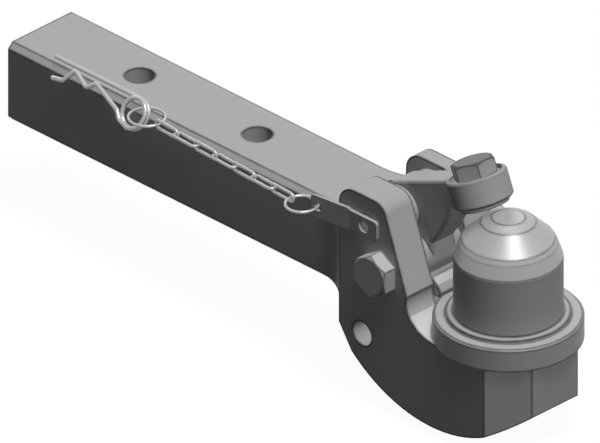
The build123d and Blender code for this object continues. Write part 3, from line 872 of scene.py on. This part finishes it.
@dataclass
class HitchForging:
    """Drawbar, neck, head and ears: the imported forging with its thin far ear, pocket and saddle."""

    finishes: Looks
    half_bar: float = 34.5 * MM
    half_gap: float = 20.5 * MM
    bar_top: float = 2.5 * MM
    ear_top: float = 34.7 * MM
    ears_rear: float = -125.0 * MM
    ears_front: float = -30.0 * MM
    pocket_top: tuple[float, float] = (-56.4 * MM, -34.3 * MM)
    pocket_centre: tuple[float, float] = (-38.5 * MM, -37.6 * MM)
    pocket_radius: float = 18.0 * MM
    pocket_end_angle: float = math.radians(230)
    pocket_facets: int = 12
    pocket_overlap: tuple[float, float] = (3.0 * MM, 2.0 * MM)
    pocket_steps: tuple[tuple[float, float], ...] = ((-45.0 * MM, -55.6 * MM), (-37.3 * MM, -58.9 * MM),
                                                     (-29.0 * MM, -60.0 * MM))
    saddle: tuple[tuple[float, float], ...] = ((-58.0 * MM, -27.2 * MM), (-52.3 * MM, -32.0 * MM),
                                               (-48.4 * MM, -37.6 * MM), (-50.0 * MM, -41.2 * MM))
    saddle_root: float = -62.0 * MM
    saddle_drop: float = 6.0 * MM
    collar_room: float = 55.25 * MM
    # Painted highlight: cut faces in this box whose normals point up and forward get the lighter milled
    # finish
    milled_highlight_x: tuple[float, float] = (-59.0 * MM, -30.0 * MM)
    milled_highlight_z: tuple[float, float] = (HEAD_TOP + 0.1 * MM, -26.0 * MM)
    least_normal: tuple[float, float] = (0.05, 0.6)
    side_normal: float = 0.9995

    def build(self, node: bpy.types.Object) -> bpy.types.Object:
        """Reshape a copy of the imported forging.

        Args:
            node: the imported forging.

        Returns:
            The finished forging.
        """
        body = copy_of(node, "hitch_forging")
        top = self.ear_top + OVERSHOOT
        upper = rectangle(self.ears_rear - OVERSHOOT, self.ears_front, self.bar_top, top)
        combine(body, prism("far_ear_cut", upper, self.half_bar, HALF_HEAD + OVERSHOOT))
        for low, high in ((-HALF_HEAD, -self.half_gap), (self.half_gap, HALF_HEAD)):
            combine(body, prism("pocket_fill", self._pocket_fill(), low, high), "UNION")
        room = plug(self.collar_room, HEAD_TOP, top)
        combine(body, turned("collar_room", room, Matrix.Identity(4)))
        tongue = [*self.saddle, (self.saddle_root, self.saddle[-1][1]),
                  (self.saddle_root, self.saddle[0][1] - self.saddle_drop)]
        combine(body, prism("saddle", tongue, -self.half_gap, self.half_gap), "UNION")
        piece = settle(body, [self.finishes["forging"], self.finishes["milled_highlight"]], "forged_steel", "head",
                       "hitch_body")
        for polygon in piece.data.polygons:
            if abs(polygon.normal.y) > self.side_normal:
                polygon.use_smooth = False
        # Upward-facing cut faces get the lighter milled finish as a painted highlight
        return paint(piece, self._is_milled_highlight)

    def _pocket_fill(self) -> Profile:
        """Outline of what stands inside the round recess at an ear's foot."""
        centre_x, centre_z = self.pocket_centre
        start = math.atan2(self.pocket_top[1] - centre_z, self.pocket_top[0] - centre_x)
        outline = []
        for step in range(self.pocket_facets + 1):
            angle = start + (self.pocket_end_angle - start) * step / self.pocket_facets
            outline.append((centre_x + self.pocket_radius * math.cos(angle),
                            centre_z + self.pocket_radius * math.sin(angle)))
        rear = self.pocket_top[0] - self.pocket_overlap[0]
        floor = HEAD_TOP - self.pocket_overlap[1]
        return [*outline, *self.pocket_steps, (self.pocket_steps[-1][0], floor), (rear, floor),
                (rear, self.pocket_top[1])]

    def _is_milled_highlight(self, face: bpy.types.MeshPolygon) -> bool:
        """Whether a face of the pockets' and saddle's cuts faces up towards the light, so that the lighter
        milled finish paints a highlight on it.
        """
        x, _, z = face.center
        inside = self.milled_highlight_x[0] < x < self.milled_highlight_x[1] and self.milled_highlight_z[0] < z < self.milled_highlight_z[1]
        return inside and face.normal.x > self.least_normal[0] and face.normal.z > self.least_normal[1]


@dataclass
class HoldDownLever:
    """The arm with its boss, and the bolt and washer sunk in the boss."""

    finishes: Looks
    lean: float = math.radians(22.5)
    foot: tuple[float, float, float] = (-24.0 * MM, 0.0, 38.2 * MM)
    boss_radius: float = 23.0 * MM
    boss_height: float = 24.5 * MM
    sink_radius: float = 19.5 * MM
    sink_depth: float = 4.9 * MM
    pad_radius: float = 18.5 * MM
    pad_height: float = 2.6 * MM
    rim: float = 1.9 * MM
    boss_play: float = 0.05 * MM
    washer_radius: float = 18.0 * MM
    washer_height: float = 3.0 * MM
    washer_play: float = 0.5 * MM
    washer_chamfer: float = 0.5 * MM
    bolt_radius: float = 10.0 * MM
    bolt_tip: float = 1.5 * MM
    bolt_chamfer: float = 1.0 * MM
    flats: float = 30.0 * MM
    head_height: float = 12.5 * MM
    running_gap: float = 0.04 * MM
    scaled_depth: float = 1.5 * MM
    scaled_normal: float = 0.6
    step_reach: float = 3.0 * MM

    def build(self, node: bpy.types.Object) -> list[bpy.types.Object]:
        """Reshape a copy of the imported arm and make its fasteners.

        Args:
            node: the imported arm.

        Returns:
            The lever, the washer and the bolt.
        """
        axis = Vector((-math.sin(self.lean), 0.0, math.cos(self.lean)))
        foot = frame_along(Vector(self.foot), axis, Vector((0, 1, 0)))
        floor = self.boss_height - self.sink_depth
        lever = copy_of(node, "hold_down_lever")
        sink = plug(self.sink_radius, floor, self.boss_height + OVERSHOOT)
        combine(lever, turned("boss_sink", sink, foot))
        combine(lever, turned("pad_step", self._pad_step(), foot, ring=True))
        washer = turned("boss_washer", self._washer(floor), foot, ring=True)
        under = floor + self.washer_height + self.running_gap
        bolt = hexagon("boss_bolt", foot @ Matrix.Translation((0, 0, under)), self.flats, self.head_height)
        shank = plug(self.bolt_radius, -self.bolt_tip, under + OVERSHOOT, self.bolt_chamfer)
        combine(bolt, turned("boss_bolt_shank", shank, foot), "UNION")
        settle(bolt, [self.finishes["boss_bolt"], self.finishes["scaled"]], "fastener_steel", "adjuster",
               "adjusting_bolt")
        crest = under + self.head_height - self.scaled_depth
        paint(bolt, lambda face: (face.center - Vector(self.foot)).dot(axis) > crest
              and face.normal.dot(axis) > self.scaled_normal)
        return [
            settle(lever, [self.finishes["lever"]], "forged_steel", "arm", "hold_down_arm"),
            settle(washer, [self.finishes["fastener"]], "fastener_steel", "adjuster_seat",
                   "adjuster_washer"),
            bolt,
        ]

    def _pad_step(self) -> Profile:
        """Profile of what is turned off the boss's foot round the pad, up to the boss's bevelled rim."""
        outside = self.boss_radius + self.step_reach
        top = self.pad_height + self.rim
        return [(self.pad_radius, -OVERSHOOT), (outside, -OVERSHOOT), (outside, top),
                (self.boss_radius + self.boss_play, top), (self.boss_radius - self.rim, self.pad_height),
                (self.pad_radius, self.pad_height)]

    def _washer(self, floor: float) -> Profile:
        """Profile of the washer on the sink's floor, both outer edges chamfered."""
        bore = self.bolt_radius + self.washer_play
        cut = self.washer_chamfer
        top = floor + self.washer_height
        return [(bore, floor), (self.washer_radius - cut, floor), (self.washer_radius, floor + cut),
                (self.washer_radius, top - cut), (self.washer_radius - cut, top), (bore, top)]


@dataclass
class Pivot:
    """The hexagon bolt through both ears, and its nut."""

    finishes: Looks
    radius: float = 10.0 * MM
    chamfer: float = 1.5 * MM
    flats: float = 30.0 * MM
    head_height: float = 12.5 * MM
    washer_height: float = 3.0 * MM
    nut_height: float = 16.0 * MM
    tail: float = 5.0 * MM

    def build(self) -> list[bpy.types.Object]:
        """Make the bolt with its plain shank, and the nut."""
        up = Vector((0, 0, 1))
        outside = HALF_HEAD + self.washer_height
        near = frame_along(Vector((PIVOT_X, -HALF_HEAD, PIVOT_Z)), Vector((0, -1, 0)), up)
        far = frame_along(Vector((PIVOT_X, outside, PIVOT_Z)), Vector((0, 1, 0)), up)
        bolt = hexagon("pivot_bolt_hexagon", near, self.flats, self.head_height)
        end = -(HALF_HEAD + outside + self.nut_height + self.tail)
        shank = plug(self.radius, end, OVERSHOOT, self.chamfer)
        combine(bolt, turned("pivot_shank", shank, near), "UNION")
        nut = hexagon("pivot_nut_hexagon", far, self.flats, self.nut_height)
        bore = plug(self.radius + THREAD_PLAY, -OVERSHOOT, self.nut_height + OVERSHOOT)
        combine(nut, turned("pivot_nut_bore", bore, far))
        return [
            settle(bolt, [self.finishes["fastener"]], "fastener_steel", "head", "pivot_bolt"),
            settle(nut, [self.finishes["fastener"]], "fastener_steel", "head", "pivot_nut"),
        ]


@dataclass
class BallStud:
    """The ball on its shank, and the slotted round nut that holds it in the head's pocket."""

    finishes: Looks
    nut_top: float = -111.0 * MM
    nut_height: float = 8.5 * MM
    nut_radius: float = 25.5 * MM
    nut_chamfer: float = 1.0 * MM
    nut_slots: int = 4
    thread_radius: float = 18.0 * MM
    thread_chamfer: float = 2.0 * MM
    thread_reach: float = 9.0 * MM
    thread_runout: float = 3.0 * MM
    tail: float = 1.0 * MM
    slot_width: float = 5.0 * MM
    slot_depth: float = 2.5 * MM
    ball_radius: float = 40.0 * MM
    skirt_top: float = 4.7 * MM
    skirt_bevel: tuple[float, float] = (0.3 * MM, 2.3 * MM)
    polished_from: float = 6.7 * MM
    band_radii: tuple[float, ...] = (39.0 * MM, 36.1 * MM, 33.9 * MM, 20.2 * MM, 12.2 * MM)
    flange_radius: float = 45.5 * MM
    flange_top: float = -39.2 * MM
    shank_radius: float = 21.0 * MM

    def on_sphere(self, radius: float) -> float:
        """Height of the coupling sphere at a distance from its axis."""
        return math.sqrt(self.ball_radius**2 - radius**2)

    def build(self) -> list[bpy.types.Object]:
        """Turn the ball with its flange and shank, and make its nut."""
        bottom = self.nut_top - self.nut_height
        stud = turned("ball_stud", self._stud(bottom - self.tail), Matrix.Identity(4), steps=144)
        bore = self.thread_radius + THREAD_PLAY
        ring = [(bore, bottom), (self.nut_radius - self.nut_chamfer, bottom),
                (self.nut_radius, bottom + self.nut_chamfer), (self.nut_radius, self.nut_top),
                (bore, self.nut_top)]
        nut = turned("ball_slotted_nut", ring, Matrix.Identity(4), ring=True)
        slot = rectangle(self.nut_radius - self.slot_depth, self.nut_radius + 2 * OVERSHOOT,
                         bottom - OVERSHOOT, self.nut_top + OVERSHOOT)
        for index in range(self.nut_slots):
            cutter = prism("nut_slot", slot, -self.slot_width / 2, self.slot_width / 2)
            cutter.data.transform(Matrix.Rotation(math.tau * index / self.nut_slots, 4, "Z"))
            combine(nut, cutter)
        settle(stud, [self.finishes["skirt"], self.finishes["ball"]], "machined_steel", "head", "ball",
               sharp=6.0)
        return [
            paint(stud, lambda face: face.center.z > self.polished_from),
            settle(nut, [self.finishes["fastener"]], "fastener_steel", "head", "ball_nut"),
        ]

    def _stud(self, end: float) -> Profile:
        """Profile from the shank's end to the ball's top, with the bands that the turning leaves."""
        neck = self.nut_top + self.thread_reach
        inset, rise = self.skirt_bevel
        profile = [(0.0, end), (self.thread_radius - self.thread_chamfer, end),
                   (self.thread_radius, end + self.thread_chamfer), (self.thread_radius, neck),
                   (self.shank_radius, neck + self.thread_runout), (self.shank_radius, HEAD_TOP),
                   (self.flange_radius, HEAD_TOP), (self.flange_radius, self.flange_top),
                   (self.ball_radius, self.flange_top), (self.ball_radius, self.skirt_top),
                   (self.ball_radius - inset, self.skirt_top + rise)]
        profile += [(radius, self.on_sphere(radius)) for radius in self.band_radii]
        return [*profile, (0.0, profile[-1][1])]


@dataclass
class LockPin:
    """The round pin through both ears, with its rivet end and clip hole."""

    finishes: Looks
    near_end: float = -48.3 * MM
    far_end: float = 48.5 * MM
    radius: float = 8.0 * MM
    chamfer: float = 2.0 * MM
    rivet_radius: float = 5.0 * MM
    rivet_length: float = 1.2 * MM
    hole_radius: float = 2.5 * MM
    hole_inset: float = 7.0 * MM

    def build(self) -> bpy.types.Object:
        """Turn the pin and drill it."""
        place = frame_along(Vector((LOCK_X, 0, LOCK_Z)), Vector((0, 1, 0)), Vector((0, 0, 1)))
        rivet = self.near_end - self.rivet_length
        profile = [(0.0, rivet), (self.rivet_radius, rivet), (self.rivet_radius, self.near_end),
                   (self.radius, self.near_end), (self.radius, self.far_end - self.chamfer),
                   (self.radius - self.chamfer, self.far_end), (0.0, self.far_end)]
        pin = turned("lock_pin_round", profile, place, steps=64)
        upright = Matrix.Translation((LOCK_X, self.far_end - self.hole_inset, LOCK_Z))
        reach = self.radius + OVERSHOOT
        combine(pin, turned("clip_hole", plug(self.hole_radius, -reach, reach), upright, steps=32))
        return settle(pin, [self.finishes["pin"]], "pin_steel", "pin", "lock_pin")


# Stage


def heading(azimuth: float, elevation: float) -> Vector:
    """Direction from the object to where it is seen or lit from; azimuth 0 lies on -Y, 90 degrees on +X."""
    return Vector((math.sin(azimuth) * math.cos(elevation), -math.cos(azimuth) * math.cos(elevation),
                   math.sin(elevation)))


def aim(piece: bpy.types.Object, away: Vector) -> None:
    """Turn a lamp or camera so that it looks back along a direction."""
    piece.rotation_euler = away.to_track_quat("Z", "Y").to_euler()


@dataclass
class Stage:
    """Floor, lamps, world and camera."""

    width_px: int = 600
    px_per_metre: float = 1386.0
    azimuth: float = math.radians(45)
    elevation: float = math.radians(30)
    target: Vector = field(default_factory=lambda: Vector((-0.2126, 0.0, -0.0525)))
    distance: float = 2.0
    camera_reach: float = 20.0
    sun_azimuth: float = math.radians(80)
    sun_elevation: float = math.radians(69.5)
    sun_strength: float = 3.1
    open_share: float = 0.75
    back_azimuth: float = math.radians(235)
    back_elevation: float = math.radians(15)
    back_strength: float = 0.5
    lamp_width: float = math.radians(24)
    fill_light: float = 0.01
    floor_reach: float = 6.0
    floor_bounce: float = 0.012
    floor_glow: float = 0.8

    def build(self, lowest: float) -> None:
        """Make everything round the object.

        Args:
            lowest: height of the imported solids' lowest point, where the floor lies.
        """
        self._camera()
        self._sun()
        self._world()
        self._floor(lowest)
        bpy.context.scene.view_settings.view_transform = "Standard"

    def _camera(self) -> None:
        """A parallel camera at the photograph's viewing angle and scale."""
        data = bpy.data.cameras.new("camera")
        data.type = "ORTHO"
        data.ortho_scale = self.width_px / self.px_per_metre
        data.clip_end = self.camera_reach
        camera = new_object("camera", data)
        away = heading(self.azimuth, self.elevation)
        camera.location = self.target + away * self.distance
        aim(camera, away)
        bpy.context.scene.camera = camera

    def _sun(self) -> None:
        """A broad soft light high over the nose, part of it without shadow, and a weak one from behind."""
        main = (self.sun_azimuth, self.sun_elevation)
        behind = (self.back_azimuth, self.back_elevation)
        for name, (azimuth, elevation), strength, shadow in (
                ("open_light", main, self.sun_strength * self.open_share, False),
                ("shadow_light", main, self.sun_strength * (1 - self.open_share), True),
                ("back_light", behind, self.back_strength, False)):
            data = bpy.data.lights.new(name, "SUN")
            data.energy = strength
            data.angle = self.lamp_width
            data.use_shadow = shadow
            aim(new_object(name, data), heading(azimuth, elevation))

    def _background_rays(self, tree: bpy.types.NodeTree) -> bpy.types.NodeSocket:
        """1 for rays that show the background: camera, glossy and transmission rays."""
        path = add_node(tree, "ShaderNodeLightPath")
        seen = math_node(tree, "MAXIMUM", path.outputs["Is Camera Ray"], path.outputs["Is Glossy Ray"])
        return math_node(tree, "MAXIMUM", seen, path.outputs["Is Transmission Ray"])

    def _world(self) -> None:
        """A weak grey fill that the camera and reflections see as white."""
        world = bpy.data.worlds.new("studio")
        bpy.context.scene.world = world
        world.use_nodes = True
        tree = world.node_tree
        dim = self.fill_light
        seen = mix_node(tree, self._background_rays(tree), (dim, dim, dim, 1), (1, 1, 1, 1))
        fill(tree, tree.nodes["Background"], {"Color": seen})

    def _floor(self, lowest: float) -> None:
        """A wide pale floor that keeps the object's shadow but throws little light back up."""
        mesh = bpy.data.meshes.new("floor")
        reach = self.floor_reach
        corners = [(-reach, -reach, lowest), (reach, -reach, lowest), (reach, reach, lowest),
                   (-reach, reach, lowest)]
        mesh.from_pydata(corners, [], [(0, 1, 2, 3)])
        floor = new_object("floor", mesh)
        material = bpy.data.materials.new("pale_floor")
        material.use_nodes = True
        tree = material.node_tree
        seen = self._background_rays(tree)
        lit = self.sun_strength * math.sin(self.sun_elevation) / math.pi
        pale = (1 - self.floor_glow) / lit
        bounce = self.floor_bounce
        fill(tree, tree.nodes["Principled BSDF"], {
            "Base Color": mix_node(tree, seen, (bounce, bounce, bounce, 1), (pale, pale, pale, 1)),
            "Roughness": 1.0,
            "Specular IOR Level": 0.0,
            "Emission Color": (1, 1, 1, 1),
            "Emission Strength": math_node(tree, "MULTIPLY", seen, self.floor_glow),
        })
        mesh.materials.append(material)
        floor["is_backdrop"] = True


@dataclass
class KeptSolids:
    """The solid pieces that keep their own shape and only get a finish."""

    nodes: dict[str, bpy.types.Object]
    finishes: Looks

    def dress(self) -> None:
        """Give each kept solid its finish."""
        chosen = {"ball_collar": "collar", "lock_pin_handle": "strip", "pivot_bush": "bronze"}
        for name, piece in self.nodes.items():
            finish = self.finishes[chosen.get(name, "fastener")]
            piece.data.materials.clear()
            piece.data.materials.append(finish)
            LOG.info("%s finished with %s", name, finish.name)


def main() -> None:
    """Load the frame, dress it, reshape or replace its pieces and set the stage."""
    logging.basicConfig(level=logging.INFO, format="%(name)s: %(message)s")
    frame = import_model()
    solid_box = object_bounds()
    nodes = frame["nodes"]
    finishes = build_finishes()
    KeptSolids(nodes, finishes).dress()
    tree = WireTree()
    made = [
        HitchForging(finishes).build(nodes["hitch_body"]),
        *HoldDownLever(finishes).build(nodes["hold_down_arm"]),
        *Pivot(finishes).build(),
        *BallStud(finishes).build(),
        LockPin(finishes).build(),
        *Chain(finishes, tree).build(),
        SpringClip(finishes, tree).build(),
    ]
    for piece in made:
        LOG.info("made %s with %d faces", piece.name, len(piece.data.polygons))
    Stage().build(solid_box[0][2])
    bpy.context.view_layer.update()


if __name__ == "__main__":
    main()
